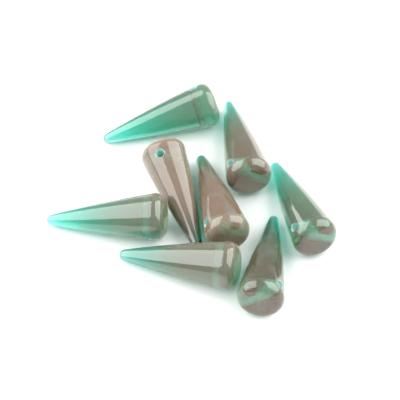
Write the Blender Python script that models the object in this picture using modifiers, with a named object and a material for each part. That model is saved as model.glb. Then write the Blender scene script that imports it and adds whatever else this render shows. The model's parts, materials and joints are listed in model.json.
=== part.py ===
"""A handful of pressed-glass spike beads lying loose on a flat surface.

Eight alike cone beads, each one solid piece of glass: a rounded tip, a side that swells gently into
a blunt butt with rounded edges, and a stringing bore drilled straight across near the butt. A loose
cone bead lies on its side, so each one is turned on its long axis and tipped to the angle at which
its own weight holds it, then set down on the surface Z = 0.

Every bead is its own object with its origin at mid-length, on the upright line it is lifted along.
Metres, +Z up, origin at the middle of the set's footprint on the surface.
"""

import math

import bmesh
import bpy
import numpy as np
from mathutils import Euler, Vector

MM = 0.001

# One bead
BEAD_LENGTH = 17.0 * MM
BUTT_DIAMETER = 6.6 * MM
TIP_RADIUS = 0.8 * MM
BUTT_EDGE_RADIUS = 1.4 * MM
SIDE_SWELL = 0.3
BORE_DIAMETER = 1.2 * MM
BORE_SETBACK = 2.55 * MM

# The handful: plan clearance between neighbours, so that each bead lifts straight out
LIFT_CLEARANCE = 0.2 * MM

# Fineness of the solids
STEPS_ROUND = 32
STEPS_TIP = 4
STEPS_SIDE = 8
STEPS_EDGE = 5
STEPS_BORE = 16
BORE_OVERRUN = 1.0 * MM

SET_NAME = "spike_bead_set"
TEAL = (0.30, 0.62, 0.52)
MAUVE = (0.42, 0.30, 0.27)

# name, middle of the bead in plan (mm, before the set is spread and centred), heading from tip to
# butt (degrees from +X), turn of the bore about the bead's axis (degrees from upright), girth as a
# share of BUTT_DIAMETER, and the mauve share of the glass
BEADS = [
    ("spike_bead_1", (-5.8, 12.6), 17.5, 33.0, 1.00, 0.35),
    ("spike_bead_2", (5.6, 8.8), 280.5, 123.0, 1.00, 0.50),
    ("spike_bead_3", (-2.9, -1.1), 108.5, 21.0, 0.99, 0.60),
    ("spike_bead_4", (-13.11, -5.0), 355.5, 60.5, 1.02, 0.50),
    ("spike_bead_5", (2.05, -1.2), 284.0, 115.0, 0.98, 0.60),
    ("spike_bead_6", (13.4, -2.2), 290.0, 122.0, 0.99, 0.50),
    ("spike_bead_7", (-3.0, -12.3), 346.5, 55.0, 1.02, 0.50),
    ("spike_bead_8", (9.2, -12.2), 262.0, 57.0, 1.00, 0.50),
]


def clear_scene():
    """Remove every object, so that the file holds only the beads."""
    for old in list(bpy.data.objects):
        bpy.data.objects.remove(old, do_unlink=True)


def new_collection(name):
    """Make a collection and link it to the scene."""
    collection = bpy.data.collections.new(name)
    bpy.context.scene.collection.children.link(collection)
    return collection


def glass(name, mauve_share):
    """Clear pressed glass between a sea green and a smoky mauve."""
    colour = [green + (mauve - green) * mauve_share for green, mauve in zip(TEAL, MAUVE)]
    material = bpy.data.materials.new(name)
    material.use_nodes = True
    shader = material.node_tree.nodes["Principled BSDF"]
    shader.inputs["Base Color"].default_value = (*colour, 1.0)
    shader.inputs["Roughness"].default_value = 0.03
    shader.inputs["Metallic"].default_value = 0.0
    shader.inputs["Transmission Weight"].default_value = 1.0
    shader.inputs["IOR"].default_value = 1.52
    return material


def arc(centre, radius, start, end, steps):
    """Points along an arc in the profile's plane, angles from +X towards +Z."""
    angles = [start + (end - start) * step / steps for step in range(steps + 1)]
    return [(centre[0] + radius * math.cos(a), centre[1] + radius * math.sin(a)) for a in angles]


def swell_curve(start, start_slope, end, end_slope, steps):
    """Points inside a cubic that leaves one end and reaches the other at the given slopes."""
    drop = start[1] - end[1]
    points = []
    for step in range(1, steps):
        t = step / steps
        radius = (
            start[0] * (2 * t**3 - 3 * t**2 + 1)
            + drop * start_slope * (t**3 - 2 * t**2 + t)
            + end[0] * (3 * t**2 - 2 * t**3)
            + drop * end_slope * (t**3 - t**2)
        )
        points.append((radius, start[1] - drop * t))
    return points


def bead_profile(butt_radius):
    """The bead's outline as (radius, height) points, from the tip's pole down to the butt's centre.

    The tip and the butt's edge are arcs. The side between them is a swelling curve tangent to
    both: steeper than the mean taper at the tip and shallower at the butt, by SIDE_SWELL.
    """
    half = BEAD_LENGTH / 2
    taper = (butt_radius - TIP_RADIUS) / (BEAD_LENGTH - TIP_RADIUS - BUTT_EDGE_RADIUS)
    tip_slope = taper * (1 + SIDE_SWELL)
    butt_slope = taper * (1 - SIDE_SWELL)
    tip = arc((0, half - TIP_RADIUS), TIP_RADIUS, math.pi / 2, math.atan(tip_slope), STEPS_TIP)
    tip[0] = (0.0, half)
    edge_centre = (butt_radius - BUTT_EDGE_RADIUS, BUTT_EDGE_RADIUS - half)
    edge = arc(edge_centre, BUTT_EDGE_RADIUS, math.atan(butt_slope), -math.pi / 2, STEPS_EDGE)
    side = swell_curve(tip[-1], tip_slope, edge[0], butt_slope, STEPS_SIDE)
    return tip + side + edge + [(0.0, -half)]


def turned_object(name, profile, collection):
    """A solid of revolution about Z, made by a Screw modifier from its profile at +X."""
    mesh = bpy.data.meshes.new(name)
    shape = bmesh.new()
    points = [shape.verts.new((radius, 0.0, height)) for radius, height in profile]
    for upper, lower in zip(points, points[1:]):
        shape.edges.new((upper, lower))
    shape.to_mesh(mesh)
    shape.free()
    turned = bpy.data.objects.new(name, mesh)
    collection.objects.link(turned)
    screw = turned.modifiers.new("turn", "SCREW")
    screw.axis = "Z"
    screw.steps = STEPS_ROUND
    screw.render_steps = STEPS_ROUND
    screw.use_merge_vertices = True
    screw.merge_threshold = 0.00001
    screw.use_smooth_shade = True
    return turned


def bore_cutter(name, collection):
    """A rod along the bead's X, past both sides of the bead, at the bore's setback from the butt."""
    bpy.ops.mesh.primitive_cylinder_add(
        vertices=STEPS_BORE,
        radius=BORE_DIAMETER / 2,
        depth=BUTT_DIAMETER + 2 * BORE_OVERRUN,
        location=(0.0, 0.0, BORE_SETBACK - BEAD_LENGTH / 2),
        rotation=(0.0, math.pi / 2, 0.0),
    )
    cutter = bpy.context.object
    cutter.name = name
    for holder in list(cutter.users_collection):
        holder.objects.unlink(cutter)
    collection.objects.link(cutter)
    cutter.hide_render = True
    cutter.display_type = "WIRE"
    return cutter


def make_bead(name, girth, collection, cutters):
    """One bead upright about Z, tip up and centred at mid-length, with its bore cut across it."""
    bead = turned_object(name, bead_profile(girth * BUTT_DIAMETER / 2), collection)
    bore = bead.modifiers.new("bore", "BOOLEAN")
    bore.operation = "DIFFERENCE"
    bore.solver = "EXACT"
    bore.object = bore_cutter(f"{name}_bore", cutters)
    return bead


def finish_mesh(bead):
    """Swap the bead's modifiers for the mesh they make, shaded smooth with crisp bore rims."""
    graph = bpy.context.evaluated_depsgraph_get()
    mesh = bpy.data.meshes.new_from_object(bead.evaluated_get(graph))
    bead.modifiers.clear()
    bead.data = mesh
    mesh.shade_smooth()
    mesh.set_sharp_from_angle(angle=math.radians(35))


def resting_tilt(profile):
    """The angle at which a bead with this outline lies still on its side.

    It lies on the stretch of side that has the centre of mass straight above it: the point where a
    line square to the side meets the bead's axis at the centre of mass.
    """
    slabs = [
        (up[1] - low[1], (up[0] ** 2 + up[0] * low[0] + low[0] ** 2), (up[1] + low[1]) / 2)
        for up, low in zip(profile, profile[1:])
    ]
    volume = sum(height * area for height, area, _ in slabs)
    balance = sum(height * area * middle for height, area, middle in slabs) / volume
    for up, low in zip(profile, profile[1:]):
        slope = (low[0] - up[0]) / max(up[1] - low[1], 1e-9)
        foot = low[1] - low[0] * slope
        if foot <= balance:
            return math.atan(slope)
    return 0.0


def lay_down(bead, heading, bore_turn, tilt):
    """Turn a bead so that its axis lies along its heading, tipped up at the butt by its tilt."""
    turn = Euler((0.0, 0.0, bore_turn)).to_matrix()
    lay = Euler((0.0, -math.pi / 2 - tilt, heading)).to_matrix()
    bead.rotation_euler = (lay @ turn).to_euler()


def turned_points(bead):
    """The bead's points in world axes, measured from its own origin."""
    matrix = bead.rotation_euler.to_matrix()
    return np.array([matrix @ vertex.co for vertex in bead.data.vertices])


def spread_for_clearance(spots, outlines):
    """How far to spread the handful so that its closest pair has LIFT_CLEARANCE in plan.

    Two outlines are clear by the widest gap between them over all plan directions.
    """
    angles = np.radians(np.arange(0, 360, 2))
    ways = np.array([np.cos(angles), np.sin(angles)])
    reach = np.array([(outline[:, :2] @ ways).max(axis=0) for outline in outlines])
    near = np.array([(outline[:, :2] @ ways).min(axis=0) for outline in outlines])
    pairs = [(a, b) for a in range(len(spots)) for b in range(a + 1, len(spots))]

    def closest(spread):
        """The smallest plan gap of any pair at this spread."""
        along = spread * spots @ ways
        return min(((near[b] + along[b]) - (reach[a] + along[a])).max() for a, b in pairs)

    low, high = 0.5, 3.0
    for _ in range(40):
        spread = (low + high) / 2
        if closest(spread) < LIFT_CLEARANCE:
            low = spread
        else:
            high = spread
    return high


def main():
    """Make the beads, lay them on the surface and centre the set."""
    clear_scene()
    parts = new_collection(SET_NAME)
    cutters = new_collection("cutters")
    beads = []
    for name, _, heading, bore_turn, girth, mauve_share in BEADS:
        bead = make_bead(name, girth, parts, cutters)
        finish_mesh(bead)
        bead.data.materials.append(glass(f"glass_{name}", mauve_share))
        tilt = resting_tilt(bead_profile(girth * BUTT_DIAMETER / 2))
        lay_down(bead, math.radians(heading), math.radians(bore_turn), tilt)
        beads.append(bead)

    outlines = [turned_points(bead) for bead in beads]
    spots = np.array([spot for _, spot, *_ in BEADS]) * MM
    spots = spots * spread_for_clearance(spots, outlines)
    lows = np.array([outline.min(axis=0)[:2] + spot for outline, spot in zip(outlines, spots)])
    highs = np.array([outline.max(axis=0)[:2] + spot for outline, spot in zip(outlines, spots)])
    middle = (lows.min(axis=0) + highs.max(axis=0)) / 2
    for bead, outline, spot in zip(beads, outlines, spots - middle):
        bead.location = Vector((spot[0], spot[1], -outline[:, 2].min()))


main()
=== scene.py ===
"""Looks for a handful of pressed-glass spike beads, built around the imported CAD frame.

Each bead is one closed glass surface: a turned outline carried round the bead's axis, with its
stringing bore let into the side by a patch of rings that ends in a softened, slightly chipped rim.
The glass is clear teal with a thin smoky mauve lustre over it, which thins out towards the tip.

Shapes are worked out in each bead's own axes, in metres: x along the bore, y across it, and w from
the tip (0) to the butt.
"""

import json
import logging
import math
from dataclasses import dataclass, field
from enum import Enum

import bpy
import numpy as np
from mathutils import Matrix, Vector


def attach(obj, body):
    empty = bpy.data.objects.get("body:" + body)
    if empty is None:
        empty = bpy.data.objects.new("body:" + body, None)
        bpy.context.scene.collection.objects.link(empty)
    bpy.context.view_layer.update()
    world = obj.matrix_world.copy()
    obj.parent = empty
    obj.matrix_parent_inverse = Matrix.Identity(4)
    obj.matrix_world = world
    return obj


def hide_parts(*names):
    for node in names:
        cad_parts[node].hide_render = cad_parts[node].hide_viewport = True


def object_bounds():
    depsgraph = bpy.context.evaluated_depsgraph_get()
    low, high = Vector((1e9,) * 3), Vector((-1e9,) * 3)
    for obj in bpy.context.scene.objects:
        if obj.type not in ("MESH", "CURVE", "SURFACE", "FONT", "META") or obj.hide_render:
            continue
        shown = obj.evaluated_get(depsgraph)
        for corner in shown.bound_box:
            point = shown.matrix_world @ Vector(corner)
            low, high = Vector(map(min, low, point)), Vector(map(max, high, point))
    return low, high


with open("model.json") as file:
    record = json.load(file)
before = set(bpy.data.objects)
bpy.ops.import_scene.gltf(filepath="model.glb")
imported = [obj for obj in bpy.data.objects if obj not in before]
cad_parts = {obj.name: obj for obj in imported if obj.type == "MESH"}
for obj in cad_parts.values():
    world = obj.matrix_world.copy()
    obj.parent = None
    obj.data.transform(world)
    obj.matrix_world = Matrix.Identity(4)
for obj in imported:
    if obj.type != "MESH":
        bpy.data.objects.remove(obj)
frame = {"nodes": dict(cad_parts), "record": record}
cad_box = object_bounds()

log = logging.getLogger("spike_beads")

MM = 0.001
TINY = 1e-9

# Point attributes of a bead's mesh: its own coordinates in millimetres, and how far each point
# belongs to the bore's wall and to the bore's rim.
SPACE_NAME = "bead_mm"
BORE_NAME = "bore_wall"
RIM_NAME = "bore_rim"

# The CAD beads: how many sides stand for a circle, and the decimals of a metre that tell corners apart.
CAD_SIDES = 32
CORNER_DECIMALS = 8

# A face of a CAD bore's wall lies within this share of the radius from the axis and between these
# shares of the length, and looks along the axis less squarely than this.
WALL_REACH = 0.7
WALL_FROM = 0.5
WALL_TO = 0.97
SQUARE_LOOK = 0.999

# Where a Mix node keeps its two colours and its result.
MIX_COLOURS = (6, 7)
MIX_RESULT = 2


class Panel(Enum):
    """The studio's soft boxes, by the side on which they hang."""

    LEFT = "left"
    RIGHT = "right"


class Tone(Enum):
    """The lustre's colour where it lies thick."""

    MAUVE = (0.60, 0.36, 0.25)
    TAUPE = (0.54, 0.38, 0.28)


@dataclass(frozen=True)
class Outline:
    """The turned outline of a bead, from the tip's pole to the middle of the butt.

    The swell is how much steeper than the mean taper the side leaves the tip, and how much
    shallower it meets the butt. The inset keeps the surface inside the CAD bead's.
    """

    length: float
    butt_radius: float
    tip_radius: float = 0.8 * MM
    edge_radius: float = 1.4 * MM
    swell: float = 0.3
    inset: float = 0.014 * MM
    steps_tip: int = 22
    steps_side: int = 150
    steps_edge: int = 26
    steps_butt: int = 10

    def taper(self) -> float:
        """Mean growth of the radius along the side, before the swell."""
        run = self.length - 2 * self.inset - self.tip_radius - self.edge_radius
        return (self.butt_radius - self.tip_radius) / run

    def side(self, share: np.ndarray) -> tuple[np.ndarray, np.ndarray]:
        """Points down the side.

        A cubic that leaves the tip's arc and meets the butt's edge arc at their own slopes, which
        are the mean taper times one plus and one minus the swell.

        Args:
            share: How far down the side, 0 at the tip's arc and 1 at the edge arc.

        Returns:
            The distance from the tip and the radius of each point.
        """
        steep = self.taper() * (1 + self.swell)
        shallow = self.taper() * (1 - self.swell)
        lean_tip = math.atan(steep)
        lean_butt = math.atan(shallow)
        w0 = self.inset + self.tip_radius * (1 - math.sin(lean_tip))
        r0 = self.tip_radius * math.cos(lean_tip)
        w1 = self.length - self.inset - self.edge_radius * (1 + math.sin(lean_butt))
        r1 = self.butt_radius - self.edge_radius * (1 - math.cos(lean_butt))
        run = w1 - w0
        t = share
        radius = (
            r0 * (2 * t**3 - 3 * t**2 + 1)
            + run * steep * (t**3 - 2 * t**2 + t)
            + r1 * (3 * t**2 - 2 * t**3)
            + run * shallow * (t**3 - t**2)
        )
        return w0 + run * t, radius

    def rows(self) -> tuple[np.ndarray, np.ndarray]:
        """The whole outline.

        Tip: an arc from the pole until it leans like the side. Side: as side(). Edge: an arc that
        turns from the side's lean to square with the axis. Butt: flat, in to the axis. Both ends
        stop short of the CAD bead's by the inset.

        Returns:
            Distance from the tip and radius, one pair for each row, with a pole at both ends.
        """
        lean_tip = math.atan(self.taper() * (1 + self.swell))
        lean_butt = math.atan(self.taper() * (1 - self.swell))
        turn = np.linspace(0, math.pi / 2 - lean_tip, self.steps_tip + 1)[:-1]
        tip_w = self.inset + self.tip_radius * (1 - np.cos(turn))
        tip_r = self.tip_radius * np.sin(turn)
        side_w, side_r = self.side(np.linspace(0, 1, self.steps_side + 1))
        turn = np.linspace(lean_butt, -math.pi / 2, self.steps_edge + 1)[1:]
        edge_w = self.length - self.inset - self.edge_radius * (1 + np.sin(turn))
        edge_r = self.butt_radius - self.edge_radius * (1 - np.cos(turn))
        share = np.linspace(1, 0, self.steps_butt + 1)[1:]
        butt_w = np.full_like(share, self.length - self.inset)
        butt_r = (self.butt_radius - self.edge_radius) * share
        row_w = np.concatenate([tip_w, side_w, edge_w, butt_w])
        row_r = np.concatenate([tip_r, side_r, edge_r, butt_r])
        return row_w, row_r


@dataclass(frozen=True)
class Seat:
    """Where a bead lies, worked out from its CAD node."""

    node: str
    tip: np.ndarray
    axes: np.ndarray
    length: float
    butt_radius: float

    @classmethod
    def of(cls, node: str) -> "Seat":
        """Measure a CAD bead.

        The bead's axis is the direction in which its corners spread the most, and its butt is the
        end with the larger radius. The bore runs along the one direction that no face of the bore's
        wall looks along.

        Args:
            node: The CAD node's name.

        Returns:
            The bead's tip, its axes as rows (bore, across, tip to butt), its length and its radius.
        """
        mesh = frame["nodes"][node].data
        corners = np.empty(len(mesh.vertices) * 3, dtype=np.float32)
        mesh.vertices.foreach_get("co", corners)
        corners = np.unique(np.round(corners.reshape(-1, 3).astype(float), CORNER_DECIMALS), axis=0)
        middle = corners.mean(axis=0)
        axis = np.linalg.eigh(np.cov((corners - middle).T))[1][:, 2]
        along = (corners - middle) @ axis
        radius = np.linalg.norm(corners - middle - along[:, None] * axis, axis=1)
        if radius[along > 0].max() < radius[along < 0].max():
            axis = -axis
            along = -along
        tip = middle + axis * along.min()
        length = float(along.max() - along.min())
        butt_radius = float(radius.max())

        centres = np.empty(len(mesh.polygons) * 3, dtype=np.float32)
        normals = np.empty(len(mesh.polygons) * 3, dtype=np.float32)
        areas = np.empty(len(mesh.polygons), dtype=np.float32)
        mesh.polygons.foreach_get("center", centres)
        mesh.polygons.foreach_get("normal", normals)
        mesh.polygons.foreach_get("area", areas)
        centres = centres.reshape(-1, 3) - tip
        normals = normals.reshape(-1, 3)
        depth = centres @ axis
        off_axis = np.linalg.norm(centres - depth[:, None] * axis, axis=1)
        wall = (depth > length * WALL_FROM) & (depth < length * WALL_TO)
        wall &= off_axis < WALL_REACH * butt_radius
        wall &= np.abs(normals @ axis) < SQUARE_LOOK
        looks = normals[wall] * areas[wall, None]
        bore = np.linalg.eigh(looks.T @ looks)[1][:, 0]
        bore -= axis * (bore @ axis)
        bore /= np.linalg.norm(bore)
        return cls(node, tip, np.array([bore, np.cross(axis, bore), axis]), length, butt_radius)

    def to_world(self, points: np.ndarray) -> np.ndarray:
        """Carry points from the bead's own axes to the frame's."""
        return self.tip + points @ self.axes


@dataclass(frozen=True)
class Bore:
    """The stringing bore, straight across the bead near its butt.

    The rim is a quarter round of this size, which chips make larger and smaller by waves round the
    mouth. The ripple is how far the wall waves in and out. A block is the square of cells, twice
    this size across, that makes way for a mouth. The counts of rings are those of the patch round
    a mouth, of its rim and of the wall. Marks start and end at a number of rings in from the rim.
    """

    radius: float = 0.6 * MM
    setback: float = 2.55 * MM
    rim: float = 0.14 * MM
    chip: float = 0.5
    chip_waves: tuple[int, int] = (2, 9)
    chip_sizes: tuple[float, float] = (0.3, 1.0)
    chip_limits: tuple[float, float] = (0.35, 2.2)
    ripple: float = 0.012 * MM
    ripple_lobes: tuple[int, int] = (5, 3)
    ripple_twists: tuple[float, float] = (40.0, -75.0)
    block: float = 1.1 * MM
    block_least: int = 3
    rings_patch: int = 9
    rings_rim: int = 5
    rings_wall: int = 60
    patch_ease: float = 0.8
    wall_starts: int = 1
    wall_rise: int = 2
    rim_starts: int = -5
    rim_rise: int = 10
    rim_ends: int = 25
    rim_fall: int = 12

    def marks(self, rings: int) -> tuple[np.ndarray, np.ndarray, np.ndarray]:
        """What each ring of the chain through the bead belongs to.

        Rings are counted in from the rim at both mouths. Each mark rises from 0 to 1 over a few
        rings, and the rim's falls again further in.

        Args:
            rings: How many rings the chain has.

        Returns:
            How far each ring belongs to the bore's wall, how far to its rim, and whether it lies
            on the bead's turned skin.
        """
        ring = np.arange(rings)
        depth = np.minimum(ring, rings - 1 - ring) - self.rings_patch
        wall = np.clip((depth - self.wall_starts) / self.wall_rise, 0, 1)
        rise = (depth - self.rim_starts) / self.rim_rise
        fall = (self.rim_ends - depth) / self.rim_fall
        return wall, np.clip(np.minimum(rise, fall), 0, 1), depth < 0


@dataclass
class SpikeBead:
    """One bead as a closed glass surface."""

    seat: Seat
    bore: Bore
    seed: int
    columns: int = 160
    side_samples: int = 2001

    def outline(self) -> Outline:
        """The outline at this bead's own length and girth."""
        inscribed = self.seat.butt_radius * math.cos(math.pi / CAD_SIDES)
        return Outline(self.seat.length, inscribed - Outline.inset)

    def radius_at(self, w: np.ndarray) -> np.ndarray:
        """The side's radius, read off a finely sampled outline.

        Args:
            w: Distances from the tip.

        Returns:
            The radius at each distance.
        """
        share = np.linspace(0, 1, self.side_samples)
        side_w, side_r = self.outline().side(share)
        return np.interp(w, side_w, side_r)

    def middle(self) -> float:
        """The bore's distance from the tip."""
        return self.seat.length - self.bore.setback

    def turn_of(self, column: np.ndarray) -> np.ndarray:
        """The angle round the bead at which each column stands."""
        return column * 2 * math.pi / self.columns

    def block_rows(self, w: np.ndarray) -> tuple[int, int]:
        """The rows nearest to one block size on either side of the bore.

        Args:
            w: Each row's distance from the tip.

        Returns:
            First and last row of the block of cells that makes way for a bore mouth.
        """
        first = np.argmin(abs(w - self.middle() + self.bore.block))
        last = np.argmin(abs(w - self.middle() - self.bore.block))
        return int(first), int(last)

    def block_reach(self) -> int:
        """Half the block's width in columns, from its share of the girth at the bore.

        Returns:
            A number of columns, never fewer than the least.
        """
        girth = 2 * math.pi * float(self.radius_at(np.array([self.middle()]))[0])
        return max(self.bore.block_least, round(self.bore.block / girth * self.columns))

    def block_edge(self, rows: tuple[int, int], reach: int) -> tuple[np.ndarray, np.ndarray]:
        """The grid points round a block, in order.

        Args:
            rows: The block's first and last row.
            reach: The block's half width in columns.

        Returns:
            Row and column of each point, anticlockwise seen from outside.
        """
        across = np.arange(-reach, reach)
        up = np.arange(rows[0], rows[1])
        sides = [np.full(across.size, rows[0]), up, np.full(across.size, rows[1]), up[::-1] + 1]
        column = np.concatenate([across, np.full(up.size, reach), -across, np.full(up.size, -reach)])
        return np.concatenate(sides), column

    def chips(self, angle: np.ndarray, rng: np.random.Generator) -> np.ndarray:
        """A worn rim: one plus a few waves round the mouth, of random size and phase.

        Args:
            angle: Each point's angle round the bore.
            rng: Source of the sizes and phases.

        Returns:
            How many times the plain rim's size the worn rim has at each point.
        """
        waves = np.arange(*self.bore.chip_waves)
        size = rng.uniform(*self.bore.chip_sizes, waves.size) * self.bore.chip / np.sqrt(waves)
        phase = rng.uniform(0, 2 * math.pi, waves.size)
        worn = (size[:, None] * np.sin(waves[:, None] * angle + phase[:, None])).sum(axis=0)
        return np.clip(1 + worn, *self.bore.chip_limits)

    def mouth(self, turn: np.ndarray, w: np.ndarray, rng: np.random.Generator) -> np.ndarray:
        """Rings from the block's edge to the bore's wall, at the mouth on the +x side.

        Outside the rim a ring blends the edge's turn and distance with the rim's, on the bead's
        own surface. The rim is a quarter round: its radius about the bore falls to the bore's own
        as its depth under the surface grows from nothing to the rim's size.

        Args:
            turn: Angle round the bead of each point on the block's edge.
            w: Distance from the tip of each of those points.
            rng: Source of the rim's wear.

        Returns:
            Points of shape (rings, points, 3), the first ring just inside the block's edge.
        """
        middle = self.middle()
        angle = np.arctan2(w - middle, self.radius_at(w) * np.sin(turn))
        wear = self.bore.rim * self.chips(angle, rng)
        rim_y = (self.bore.radius + wear) * np.cos(angle)
        rim_w = middle + (self.bore.radius + wear) * np.sin(angle)
        rim_turn = np.arcsin(rim_y / self.radius_at(rim_w))
        blend = (np.linspace(0, 1, self.bore.rings_patch + 1)[1:] ** self.bore.patch_ease)[:, None]
        patch_turn = turn + (rim_turn - turn) * blend
        patch_w = w + (rim_w - w) * blend
        patch_r = self.radius_at(patch_w)
        patch = np.stack([patch_r * np.cos(patch_turn), patch_r * np.sin(patch_turn), patch_w], axis=-1)

        quarter = np.linspace(0, math.pi / 2, self.bore.rings_rim + 1)[1:, None]
        reach = self.bore.radius + wear * (1 - np.sin(quarter))
        depth = wear * (1 - np.cos(quarter))
        y = reach * np.cos(angle)
        rim_w = middle + reach * np.sin(angle)
        x = np.sqrt(self.radius_at(rim_w) ** 2 - y**2) - depth
        return np.concatenate([patch, np.stack([x, y, rim_w], axis=-1)])

    def bore_rings(self, edge_turn: np.ndarray, edge_w: np.ndarray) -> np.ndarray:
        """Rings from one mouth, along the bore's wall and out to the other mouth.

        The wall goes straight from rim to rim. It waves in and out by the ripple times the sum of
        two sines of the angle round the bore and the share of the way along, and the waves fade
        to nothing at both ends.

        Args:
            edge_turn: Angle round the bead of each point on a block's edge.
            edge_w: Distance from the tip of each of those points.

        Returns:
            Points of shape (rings, points, 3) in the bead's own axes.
        """
        bore = self.bore
        rng = np.random.default_rng(self.seed)
        near = self.mouth(edge_turn, edge_w, rng)
        far = self.mouth(edge_turn, edge_w, rng) * np.array([-1.0, 1.0, 1.0])
        share = np.linspace(0, 1, bore.rings_wall + 2)[1:-1, None, None]
        wall = near[-1] + (far[-1] - near[-1]) * share
        spoke = wall[..., 1:] - np.array([0.0, self.middle()])
        angle = np.arctan2(spoke[..., 1], spoke[..., 0])
        along = share[..., 0]
        first = np.sin(bore.ripple_lobes[0] * angle + bore.ripple_twists[0] * along)
        second = np.sin(bore.ripple_lobes[1] * angle + bore.ripple_twists[1] * along + self.seed)
        ripple = bore.ripple * np.sin(math.pi * along) * (first + second)
        wall[..., 1:] += spoke / bore.radius * ripple[..., None]
        return np.concatenate([near, wall, far[::-1]])

    def build(self, name: str) -> bpy.types.Object:
        """Make the bead's mesh.

        The body is the outline's rows carried round the axis, less two blocks of cells. A chain of
        rings runs from one block's edge over its rim, along the bore's wall and out to the other.

        Args:
            name: The new piece's name.

        Returns:
            The new object, at the origin, with its bead coordinates stored as an attribute.
        """
        row_w, row_r = self.outline().rows()
        body_w = row_w[1:-1, None]
        body_r = row_r[1:-1, None]
        turn = self.turn_of(np.arange(self.columns))
        wide_w = np.broadcast_to(body_w, (body_w.size, turn.size))
        body = np.stack([body_r * np.cos(turn), body_r * np.sin(turn), wide_w], axis=-1)
        rows = self.block_rows(row_w[1:-1])
        reach = self.block_reach()
        edge_row, edge_column = self.block_edge(rows, reach)
        rings = self.bore_rings(self.turn_of(edge_column), row_w[1:-1][edge_row])

        body_count = body.shape[0] * self.columns
        poles = np.array([[0.0, 0.0, row_w[0]], [0.0, 0.0, row_w[-1]]])
        chain_from = body_count + len(poles)
        points = np.concatenate([body.reshape(-1, 3), poles, rings.reshape(-1, 3)])
        grid = np.arange(body_count).reshape(body.shape[:2])
        quads, fans = self.body_faces(grid, rows, reach, body_count)
        first = grid[edge_row, edge_column % self.columns]
        last = grid[edge_row, (self.columns // 2 - edge_column) % self.columns]
        quads = np.concatenate([quads, self.chain_faces(first, last, rings.shape[0], chain_from)])

        mesh = bpy.data.meshes.new(name)
        mesh.from_pydata(self.seat.to_world(points).tolist(), [], quads.tolist() + fans.tolist())
        space = mesh.attributes.new(SPACE_NAME, "FLOAT_VECTOR", "POINT")
        space.data.foreach_set("vector", (points / MM).astype(np.float32).ravel())
        wall, rim, on_skin = self.bore.marks(rings.shape[0])
        for mark, share in ((BORE_NAME, wall), (RIM_NAME, rim)):
            value = np.concatenate([np.zeros(chain_from), np.repeat(share, first.size)])
            data = mesh.attributes.new(mark, "FLOAT", "POINT").data
            data.foreach_set("value", value.astype(np.float32))
        mesh.shade_smooth()
        mesh.update()
        skin = np.concatenate([np.ones(chain_from, dtype=bool), np.repeat(on_skin, first.size)])
        self.set_normals(mesh, points, skin, row_w, row_r)
        piece = bpy.data.objects.new(name, mesh)
        bpy.context.scene.collection.objects.link(piece)
        return piece

    def set_normals(
        self,
        mesh: bpy.types.Mesh,
        points: np.ndarray,
        skin: np.ndarray,
        row_w: np.ndarray,
        row_r: np.ndarray,
    ) -> None:
        """Give the turned skin its exact normals, so that the patch round a mouth doesn't show.

        A normal leans from straight out towards the tip or the butt, square to the outline there.

        Args:
            mesh: The bead's mesh.
            points: Its points in the bead's own axes.
            skin: Which of them lie on the turned skin.
            row_w: The outline's distances from the tip.
            row_r: The outline's radii.
        """
        smooth = np.empty(len(points) * 3, dtype=np.float32)
        mesh.vertex_normals.foreach_get("vector", smooth)
        smooth = smooth.reshape(-1, 3).astype(float)
        travel = np.concatenate([[0.0], np.cumsum(np.hypot(np.diff(row_w), np.diff(row_r)))])
        run = np.gradient(row_w, travel)
        rise = np.gradient(row_r, travel)
        radius = np.hypot(points[:, 0], points[:, 1])
        flat = points[:, 2] > row_w[-1] - TINY
        station = np.interp(points[:, 2], row_w, travel)
        station[flat] = travel[-1] - radius[flat]
        out = np.interp(station, travel, run)
        lean = -np.interp(station, travel, rise)
        spread = out / np.maximum(radius, TINY)
        exact = np.stack([points[:, 0] * spread, points[:, 1] * spread, lean], axis=-1)
        exact /= np.linalg.norm(exact, axis=1, keepdims=True)
        smooth[skin] = (exact @ self.seat.axes)[skin]
        mesh.normals_split_custom_set_from_vertices(smooth.tolist())

    @staticmethod
    def chain_faces(first: np.ndarray, last: np.ndarray, rings: int, chain_from: int) -> np.ndarray:
        """Cells between each ring of the chain and the next, from one block's edge to the other's.

        Args:
            first: Point numbers round the near block's edge.
            last: Point numbers round the far block's edge, in matching order.
            rings: How many rings lie between them.
            chain_from: The number of the rings' first point.

        Returns:
            Quads, as point numbers.
        """
        between = chain_from + np.arange(rings * first.size).reshape(rings, first.size)
        chain = np.concatenate([first[None], between, last[None]])
        ahead = np.roll(chain, -1, axis=1)
        return np.stack([chain[:-1], ahead[:-1], ahead[1:], chain[1:]], axis=-1).reshape(-1, 4)

    def body_faces(
        self, grid: np.ndarray, rows: tuple[int, int], reach: int, body_count: int
    ) -> tuple[np.ndarray, np.ndarray]:
        """Cells of the body outside the two blocks, and the fans that close the poles.

        Args:
            grid: Point numbers by row and column.
            rows: The blocks' first and last row.
            reach: The blocks' half width in columns.
            body_count: How many points the body has. The tip's pole comes next, then the butt's.

        Returns:
            Quads and triangles, as point numbers.
        """
        ahead = np.roll(grid, -1, axis=1)
        quads = np.stack([grid[:-1], ahead[:-1], ahead[1:], grid[1:]], axis=-1)
        keep = np.ones(quads.shape[:2], dtype=bool)
        span = np.arange(-reach, reach)
        height = np.arange(rows[0], rows[1])
        for centre in (0, self.columns // 2):
            keep[np.ix_(height, (centre + span) % self.columns)] = False
        tip = np.stack([np.full(self.columns, body_count), ahead[0], grid[0]], axis=-1)
        butt = np.stack([np.full(self.columns, body_count + 1), grid[-1], ahead[-1]], axis=-1)
        return quads[keep], np.concatenate([tip, butt])


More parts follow.
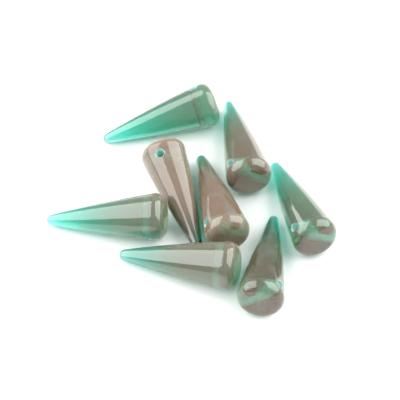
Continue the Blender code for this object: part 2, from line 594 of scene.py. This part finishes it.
@dataclass(frozen=True)
class Lustre:
    """The smoky lustre on one bead.

    It grows from nothing at starts_mm from the tip to its strength at full_mm. A start before the
    tip, below zero, leaves some lustre on the tip. The wear is how much the scratches and flecks
    show, and the tone is the lustre's colour where it lies thick.
    """

    strength: float
    starts_mm: float
    full_mm: float
    wear: float
    tone: Tone


@dataclass(frozen=True)
class Pattern:
    """A noise over the bead's own millimetres, which may be turned and stretched first."""

    scale: float = 1.0
    detail: float = 1.0
    roughness: float = 0.5
    stretch: tuple[float, float, float] | None = None
    turn: tuple[float, float, float] = (0.0, 0.0, 0.0)


@dataclass(frozen=True)
class Wiring:
    """Adds the nodes of one material and joins them."""

    tree: bpy.types.NodeTree

    def put(self, socket: bpy.types.NodeSocket, value: object) -> None:
        """Feed an input from another socket, or set it to a number, a vector or an opaque colour.

        Args:
            socket: The input.
            value: An output socket, a number, or a tuple of three numbers.
        """
        if isinstance(value, bpy.types.NodeSocket):
            self.tree.links.new(value, socket)
        elif isinstance(value, tuple) and len(socket.default_value) > len(value):
            socket.default_value = (*value, 1.0)
        else:
            socket.default_value = value

    def add(self, kind: str, values: dict[str, object]) -> bpy.types.Node:
        """Add a node and fill its inputs.

        Args:
            kind: The node's type.
            values: What goes into each named input.

        Returns:
            The new node.
        """
        node = self.tree.nodes.new(kind)
        for name, value in values.items():
            self.put(node.inputs[name], value)
        return node

    def attribute(self, name: str, output: str) -> bpy.types.NodeSocket:
        """Read an attribute of the mesh.

        Args:
            name: The attribute's name.
            output: Which of the node's outputs is wanted.

        Returns:
            That output.
        """
        node = self.add("ShaderNodeAttribute", {})
        node.attribute_name = name
        return node.outputs[output]

    def noise(self, pattern: Pattern, space: bpy.types.NodeSocket) -> bpy.types.NodeSocket:
        """Lay a pattern over the bead.

        Args:
            pattern: The noise, with its turn and stretch.
            space: The bead's own coordinates, in millimetres.

        Returns:
            The noise's value, which stays round a half.
        """
        if pattern.stretch is not None:
            values = {"Vector": space, "Rotation": pattern.turn, "Scale": pattern.stretch}
            space = self.add("ShaderNodeMapping", values).outputs["Vector"]
        values = {"Scale": pattern.scale, "Detail": pattern.detail, "Roughness": pattern.roughness}
        return self.add("ShaderNodeTexNoise", {"Vector": space, **values}).outputs["Fac"]

    def band(
        self, value: bpy.types.NodeSocket, limits: tuple[float, float], top: float = 1.0
    ) -> bpy.types.NodeSocket:
        """Rise smoothly from nothing to the top as a value goes from one limit to the other.

        Args:
            value: The value.
            limits: Where the rise starts and ends. It falls instead if the first is the larger.
            top: The result at the second limit.

        Returns:
            The result.
        """
        values = {"Value": value, "From Min": limits[0], "From Max": limits[1], "To Max": top}
        node = self.add("ShaderNodeMapRange", values)
        node.interpolation_type = "SMOOTHSTEP"
        return node.outputs["Result"]

    def reckon(self, operation: str, *values: object) -> bpy.types.NodeSocket:
        """Add a Math node.

        Args:
            operation: The node's operation.
            *values: Its inputs in order, sockets or plain numbers.

        Returns:
            Its result.
        """
        node = self.add("ShaderNodeMath", {})
        node.operation = operation
        for socket, value in zip(node.inputs, values):
            self.put(socket, value)
        return node.outputs["Value"]

    def mix(self, share: bpy.types.NodeSocket, first: object, second: object) -> bpy.types.NodeSocket:
        """Mix two colours.

        Args:
            share: The second colour's share.
            first: A socket or a plain colour.
            second: A socket or a plain colour.

        Returns:
            The mixed colour.
        """
        node = self.add("ShaderNodeMix", {})
        node.data_type = "RGBA"
        self.put(node.inputs["Factor"], share)
        for number, colour in zip(MIX_COLOURS, (first, second)):
            self.put(node.inputs[number], colour)
        return node.outputs[MIX_RESULT]


@dataclass(frozen=True)
class Readings:
    """What the finish reads off a bead, each as a socket.

    They are the bead's own coordinates and the distance from the tip, both in millimetres, how far
    a place belongs to the bore's wall, to the skin outside it and to the bore's rim, and two
    noises: a fine grain and streaks along the bead.
    """

    space: bpy.types.NodeSocket
    depth: bpy.types.NodeSocket
    wall: bpy.types.NodeSocket
    skin: bpy.types.NodeSocket
    rim: bpy.types.NodeSocket
    grain: bpy.types.NodeSocket
    streak: bpy.types.NodeSocket

    @classmethod
    def of(cls, wiring: Wiring, grain: Pattern, streak: Pattern) -> "Readings":
        """Add the nodes that read a bead.

        Args:
            wiring: The material's wiring.
            grain: The fine grain's pattern.
            streak: The streaks' pattern.

        Returns:
            The readings.
        """
        space = wiring.attribute(SPACE_NAME, "Vector")
        wall = wiring.attribute(BORE_NAME, "Fac")
        return cls(
            space=space,
            depth=wiring.add("ShaderNodeSeparateXYZ", {"Vector": space}).outputs["Z"],
            wall=wall,
            skin=wiring.reckon("SUBTRACT", 1.0, wall),
            rim=wiring.attribute(RIM_NAME, "Fac"),
            grain=wiring.noise(grain, space),
            streak=wiring.noise(streak, space),
        )


@dataclass(frozen=True)
class GlassFinish:
    """Teal pressed glass under a thin smoky lustre, with a glossy film over both.

    The glass takes its colour from depth: it absorbs light on the way through. The lustre tints
    what passes through the surface and adds a faint veil of its own tone. The bore's wall is
    frosted, and its rim, the scratches and the flecks are chalky.
    """

    lustre: Lustre
    smoke: tuple[float, float, float] = (0.70, 0.58, 0.48)
    bare: tuple[float, float, float] = (0.76, 0.98, 0.94)
    frost: tuple[float, float, float] = (0.42, 0.92, 0.94)
    chalk: tuple[float, float, float] = (0.66, 0.98, 0.93)
    chalk_shows: tuple[float, float] = (0.0, 0.2)

    glass_ior: float = 1.52
    absorb: tuple[float, float, float] = (0.0, 0.80, 0.72)
    density: float = 950.0
    film_ior: float = 1.6
    film_roughness: float = 0.02
    film_least: float = 0.3

    cloud: Pattern = Pattern(scale=0.35, detail=3.0)
    drift_mm: float = 3.0
    butt_mm: tuple[float, float] = (14.6, 16.8)
    butt_gain: float = 0.35
    cover: float = 0.24

    grain: Pattern = Pattern(scale=8.0, detail=5.0, roughness=0.7)
    flakes: tuple[float, float] = (0.52, 0.62)
    flake_cover: float = 0.55
    frost_cover: float = 0.42
    sparkle: float = 0.45
    ragged_grain: float = 2.5
    ragged: tuple[float, float] = (1.75, 2.1)
    rim_cover: float = 0.65

    patch: Pattern = Pattern(scale=0.8, detail=2.0)
    patch_limits: tuple[float, float] = (0.5, 0.62)
    hairs: tuple[Pattern, ...] = (
        Pattern(stretch=(9.0, 9.0, 0.50), turn=(0.5, 0.4, 0.7)),
        Pattern(stretch=(7.5, 7.5, 0.45), turn=(1.3, -0.5, 0.2)),
    )
    hair_middle: float = 0.5
    hair_width: tuple[float, float] = (0.016, 0.004)
    hair_gain: float = 0.7
    fleck: tuple[float, float] = (0.64, 0.68)
    fleck_gain: float = 2.2

    streak: Pattern = Pattern(detail=5.0, stretch=(2.2, 2.2, 0.12))
    gloss: float = 0.015
    gloss_spread: float = 0.03
    bore_roughness: float = 0.42
    streak_height: float = 0.05
    bump_height: float = 0.05 * MM

    def build(self, name: str) -> bpy.types.Material:
        """Make the node material.

        Args:
            name: The material's name.

        Returns:
            Principled glass under a thin diffuse veil, both following the bead's own coordinates.
        """
        material = bpy.data.materials.new(name)
        material.use_nodes = True
        wiring = Wiring(material.node_tree)
        wiring.tree.nodes.clear()
        bead = Readings.of(wiring, self.grain, self.streak)
        coat = self.coat(wiring, bead)
        chalky = self.chalky(wiring, bead)
        normal = self.relief(wiring, bead)
        glass = wiring.add(
            "ShaderNodeBsdfPrincipled",
            {
                "Base Color": wiring.mix(coat, self.bare, self.smoke),
                "Roughness": self.roughness(wiring, bead),
                "IOR": self.glass_ior,
                "Transmission Weight": 1.0,
                "Coat Weight": min(1.0, self.film_least + self.lustre.strength),
                "Coat Roughness": self.film_roughness,
                "Coat IOR": self.film_ior,
                "Normal": normal,
            },
        )
        tint = wiring.mix(bead.wall, self.lustre.tone.value, self.frost)
        tint = wiring.mix(wiring.band(chalky, self.chalk_shows), tint, self.chalk)
        veil = wiring.add("ShaderNodeBsdfDiffuse", {"Color": tint, "Normal": normal})
        cover = wiring.reckon("MULTIPLY_ADD", coat, self.cover, self.frosting(wiring, bead))
        blend = wiring.add("ShaderNodeMixShader", {"Fac": wiring.reckon("MAXIMUM", cover, chalky)})
        for socket, shader in zip(blend.inputs[1:], (glass, veil)):
            wiring.put(socket, shader.outputs["BSDF"])
        body = wiring.add("ShaderNodeVolumeAbsorption", {"Color": self.absorb, "Density": self.density})
        ends = {"Surface": blend.outputs["Shader"], "Volume": body.outputs["Volume"]}
        wiring.add("ShaderNodeOutputMaterial", ends)
        return material

    def coat(self, wiring: Wiring, bead: Readings) -> bpy.types.NodeSocket:
        """The lustre's thickness.

        It rises along the bead, from a start that a cloudy noise shifts to and fro. It gains a
        little more on the butt, and there is none on the bore's wall.

        Args:
            wiring: The material's wiring.
            bead: The bead's readings.

        Returns:
            The thickness, as a share.
        """
        cloud = wiring.noise(self.cloud, bead.space)
        drift = wiring.reckon("MULTIPLY_ADD", cloud, self.drift_mm, bead.depth)
        drift = wiring.reckon("SUBTRACT", drift, self.drift_mm / 2)
        along = wiring.band(drift, (self.lustre.starts_mm, self.lustre.full_mm), self.lustre.strength)
        gain = wiring.reckon("MULTIPLY_ADD", wiring.band(bead.depth, self.butt_mm), self.butt_gain, 1.0)
        return wiring.reckon("MULTIPLY", wiring.reckon("MULTIPLY", along, gain), bead.skin)

    def frosting(self, wiring: Wiring, bead: Readings) -> bpy.types.NodeSocket:
        """The bore wall's frost: an even cover and more of it in flakes.

        Args:
            wiring: The material's wiring.
            bead: The bead's readings.

        Returns:
            The frost's cover, as a share.
        """
        flakes = wiring.band(bead.grain, self.flakes)
        cover = wiring.reckon("MULTIPLY_ADD", flakes, self.flake_cover, self.frost_cover)
        return wiring.reckon("MULTIPLY", bead.wall, cover)

    def chalky(self, wiring: Wiring, bead: Readings) -> bpy.types.NodeSocket:
        """The chalky marks: a ragged edge round each mouth, and the scuffs on the skin.

        The edge is where the rim, plus a share of the wall and of the grain, passes a threshold.

        Args:
            wiring: The material's wiring.
            bead: The bead's readings.

        Returns:
            The marks' cover, as a share.
        """
        edge = wiring.reckon("MULTIPLY_ADD", bead.wall, self.sparkle, bead.rim)
        edge = wiring.reckon("MULTIPLY_ADD", bead.grain, self.ragged_grain, edge)
        chipping = wiring.reckon("MULTIPLY", wiring.band(edge, self.ragged), self.rim_cover)
        scuffs = wiring.reckon("MULTIPLY", self.scuffs(wiring, bead), self.lustre.wear)
        return wiring.reckon("MAXIMUM", chipping, wiring.reckon("MULTIPLY", scuffs, bead.skin))

    def scuffs(self, wiring: Wiring, bead: Readings) -> bpy.types.NodeSocket:
        """Hair scratches in two directions, broken up by patches, and a few flecks.

        A scratch runs where a long, thin noise crosses its middle value.

        Args:
            wiring: The material's wiring.
            bead: The bead's readings.

        Returns:
            How scuffed the skin is. A fleck counts for more than a scratch.
        """
        worn = wiring.band(wiring.noise(self.patch, bead.space), self.patch_limits)
        lines = 0.0
        for hair in self.hairs:
            offset = wiring.reckon("SUBTRACT", wiring.noise(hair, bead.space), self.hair_middle)
            line = wiring.band(wiring.reckon("ABSOLUTE", offset), self.hair_width)
            lines = wiring.reckon("MAXIMUM", line, lines)
        flecks = wiring.reckon("MULTIPLY", wiring.band(bead.grain, self.fleck), self.fleck_gain)
        lines = wiring.reckon("MULTIPLY", lines, self.hair_gain)
        return wiring.reckon("MULTIPLY_ADD", lines, worn, flecks)

    def roughness(self, wiring: Wiring, bead: Readings) -> bpy.types.NodeSocket:
        """The glass's roughness: streaky and near none on the skin, and far more in the bore.

        Args:
            wiring: The material's wiring.
            bead: The bead's readings.

        Returns:
            The roughness.
        """
        skin = wiring.reckon("MULTIPLY_ADD", bead.streak, self.gloss_spread, self.gloss)
        return wiring.reckon("MULTIPLY_ADD", bead.wall, self.bore_roughness, skin)

    def relief(self, wiring: Wiring, bead: Readings) -> bpy.types.NodeSocket:
        """The surface's fine relief: faint streaks everywhere, and the grain on the bore's wall.

        Args:
            wiring: The material's wiring.
            bead: The bead's readings.

        Returns:
            The bumped normal.
        """
        height = wiring.reckon("MULTIPLY", bead.grain, bead.wall)
        height = wiring.reckon("MULTIPLY_ADD", bead.streak, self.streak_height, height)
        values = {"Height": height, "Strength": 1.0, "Distance": self.bump_height}
        return wiring.add("ShaderNodeBump", values).outputs["Normal"]


@dataclass(frozen=True)
class SoftBox:
    """A rectangular soft light, aimed at the set. Its angles are in degrees."""

    azimuth: float
    elevation: float
    distance: float
    width: float
    height: float
    radiance: float

    def build(self, name: str, target: Vector) -> None:
        """Hang the light and turn it towards the target.

        Args:
            name: The light's name.
            target: The point it is aimed at.
        """
        around = math.radians(self.azimuth)
        up = math.radians(self.elevation)
        way = Vector((math.cos(up) * math.cos(around), math.cos(up) * math.sin(around), math.sin(up)))
        light = bpy.data.lights.new(name, "AREA")
        light.shape = "RECTANGLE"
        light.size = self.width
        light.size_y = self.height
        light.energy = self.radiance * math.pi * self.width * self.height
        lamp = bpy.data.objects.new(name, light)
        lamp.location = target + way * self.distance
        lamp.rotation_euler = way.to_track_quat("Z", "Y").to_euler()
        bpy.context.scene.collection.objects.link(lamp)


@dataclass(frozen=True)
class Studio:
    """A pale table in soft light, and the camera."""

    world: float = 0.6
    world_colour: tuple[float, float, float] = (1.0, 1.0, 1.0)
    table_side: float = 3.0
    table_colour: tuple[float, float, float] = (0.92, 0.92, 0.92)
    table_roughness: float = 0.9
    table_gloss: float = 0.0
    target_offset: tuple[float, float, float] = (1.27 * MM, 1.50 * MM, 0.0)
    distance: float = 0.350
    elevation: float = 52.4
    field_of_view: float = 9.26
    nearest: float = 0.01
    boxes: dict[Panel, SoftBox] = field(
        default_factory=lambda: {
            Panel.LEFT: SoftBox(
                azimuth=172.0, elevation=38.0, distance=0.5, width=0.82, height=0.56, radiance=3.5
            ),
            Panel.RIGHT: SoftBox(
                azimuth=12.0, elevation=38.0, distance=0.5, width=0.74, height=0.60, radiance=3.5
            ),
        }
    )

    def build(self) -> None:
        """Lay the table, set the surroundings, hang the soft boxes and place the camera."""
        self.lay_table()
        self.set_surroundings()
        for panel, box in self.boxes.items():
            box.build(f"soft_box_{panel.value}", Vector((0.0, 0.0, 0.0)))
        self.place_camera()

    def lay_table(self) -> None:
        """A flat pale sheet under the set."""
        half = self.table_side / 2
        mesh = bpy.data.meshes.new("table")
        corners = [(-half, -half, 0), (half, -half, 0), (half, half, 0), (-half, half, 0)]
        mesh.from_pydata(corners, [], [(0, 1, 2, 3)])
        table = bpy.data.objects.new("table", mesh)
        bpy.context.scene.collection.objects.link(table)
        material = bpy.data.materials.new("table_white")
        material.use_nodes = True
        shader = material.node_tree.nodes["Principled BSDF"]
        shader.inputs["Base Color"].default_value = (*self.table_colour, 1.0)
        shader.inputs["Roughness"].default_value = self.table_roughness
        shader.inputs["Specular IOR Level"].default_value = self.table_gloss
        mesh.materials.append(material)

    def set_surroundings(self) -> None:
        """An even pale room round the set, and plain colour handling."""
        world = bpy.data.worlds.new("room")
        world.use_nodes = True
        background = world.node_tree.nodes["Background"]
        background.inputs["Color"].default_value = (*self.world_colour, 1.0)
        background.inputs["Strength"].default_value = self.world
        bpy.context.scene.world = world
        bpy.context.scene.view_settings.view_transform = "Standard"

    def place_camera(self) -> None:
        """A long-lens camera in front of and above the set."""
        low, high = cad_box
        target = Vector(((low[0] + high[0]) / 2, (low[1] + high[1]) / 2, 0.0))
        target += Vector(self.target_offset)
        up = math.radians(self.elevation)
        camera = bpy.data.cameras.new("camera")
        camera.angle = math.radians(self.field_of_view)
        camera.clip_start = self.nearest
        holder = bpy.data.objects.new("camera", camera)
        holder.location = target + Vector((0.0, -math.cos(up), math.sin(up))) * self.distance
        holder.rotation_euler = (math.pi / 2 - up, 0.0, 0.0)
        bpy.context.scene.collection.objects.link(holder)
        bpy.context.scene.camera = holder


LUSTRES = {
    "spike_bead_1": Lustre(strength=0.50, starts_mm=2.0, full_mm=15.0, wear=0.14, tone=Tone.TAUPE),
    "spike_bead_2": Lustre(strength=0.60, starts_mm=0.0, full_mm=10.0, wear=0.24, tone=Tone.MAUVE),
    "spike_bead_3": Lustre(strength=1.25, starts_mm=-1.0, full_mm=6.0, wear=0.08, tone=Tone.TAUPE),
    "spike_bead_4": Lustre(strength=0.62, starts_mm=3.0, full_mm=14.0, wear=0.12, tone=Tone.TAUPE),
    "spike_bead_5": Lustre(strength=0.95, starts_mm=-2.5, full_mm=6.0, wear=0.30, tone=Tone.MAUVE),
    "spike_bead_6": Lustre(strength=0.40, starts_mm=0.0, full_mm=11.0, wear=0.26, tone=Tone.MAUVE),
    "spike_bead_7": Lustre(strength=0.70, starts_mm=1.5, full_mm=10.0, wear=0.12, tone=Tone.TAUPE),
    "spike_bead_8": Lustre(strength=0.42, starts_mm=0.0, full_mm=9.0, wear=0.36, tone=Tone.MAUVE),
}


@dataclass
class BeadSet:
    """The whole handful."""

    pieces: list[bpy.types.Object] = field(default_factory=list)

    def build(self) -> None:
        """Make and dress each bead, and put it on its CAD body in its CAD node's place."""
        bodies = frame["record"]["behaviour"]["bodies"]
        body_of = {node: body for body, nodes in bodies.items() for node in nodes}
        for number, node in enumerate(sorted(LUSTRES), start=1):
            bead = SpikeBead(Seat.of(node), Bore(), seed=number)
            piece = bead.build(f"glass_bead_{number}")
            piece.data.materials.append(GlassFinish(LUSTRES[node]).build(f"lustred_glass_{number}"))
            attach(piece, body_of[node])
            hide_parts(node)
            self.pieces.append(piece)
            faces = len(piece.data.polygons)
            log.info("%s: %d faces, %.2f mm long", piece.name, faces, bead.seat.length / MM)


def main() -> None:
    """Build the beads and the studio."""
    logging.basicConfig(level=logging.INFO, format="%(name)s: %(message)s")
    BeadSet().build()
    Studio().build()


if __name__ == "__main__":
    main()
